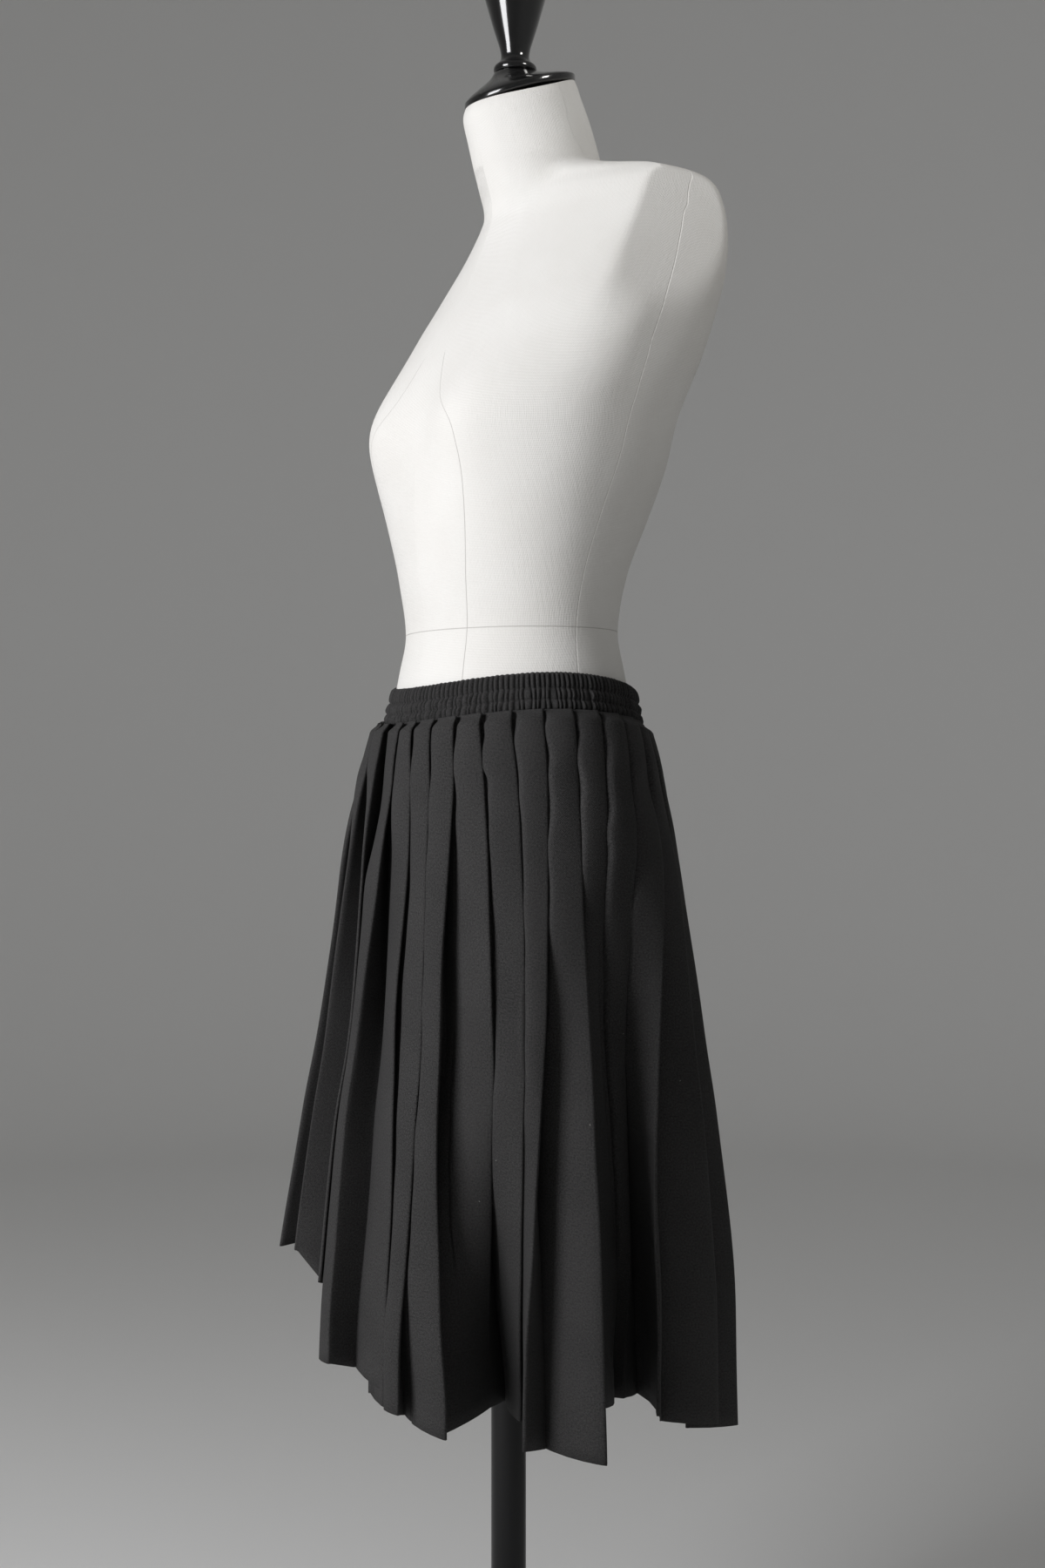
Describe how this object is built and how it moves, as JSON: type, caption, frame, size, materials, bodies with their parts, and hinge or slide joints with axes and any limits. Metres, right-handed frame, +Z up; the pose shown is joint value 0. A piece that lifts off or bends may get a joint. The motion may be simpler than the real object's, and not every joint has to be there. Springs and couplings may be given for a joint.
{
  "type": "pleated skirt on a dress form",
  "caption": "Knife pleated skirt with a gathered elastic waistband and a stepped hem, worn on a limbless dress form on a pole and round base.",
  "frame": {"origin": "on the floor, on the axis of the pole, at the centre of the base's underside", "axes": "+Z up along the pole; the form faces -Y; the wearer's left is +X"},
  "size_m": [0.4385, 0.4116, 1.6921],
  "materials": {
    "linen": "off-white woven cover",
    "lacquer": "gloss black lacquer",
    "satin_metal": "satin black",
    "crepe": "matte black crepe"
  },
  "bodies": {
    "root": {"form_torso": "linen", "neck_cap": "lacquer", "finial": "lacquer", "stand_pole": "satin_metal", "stand_base": "satin_metal", "waistband": "crepe", "skirt_left_panel": "crepe", "skirt_right_panel": "crepe"}
  },
  "joints": []
}
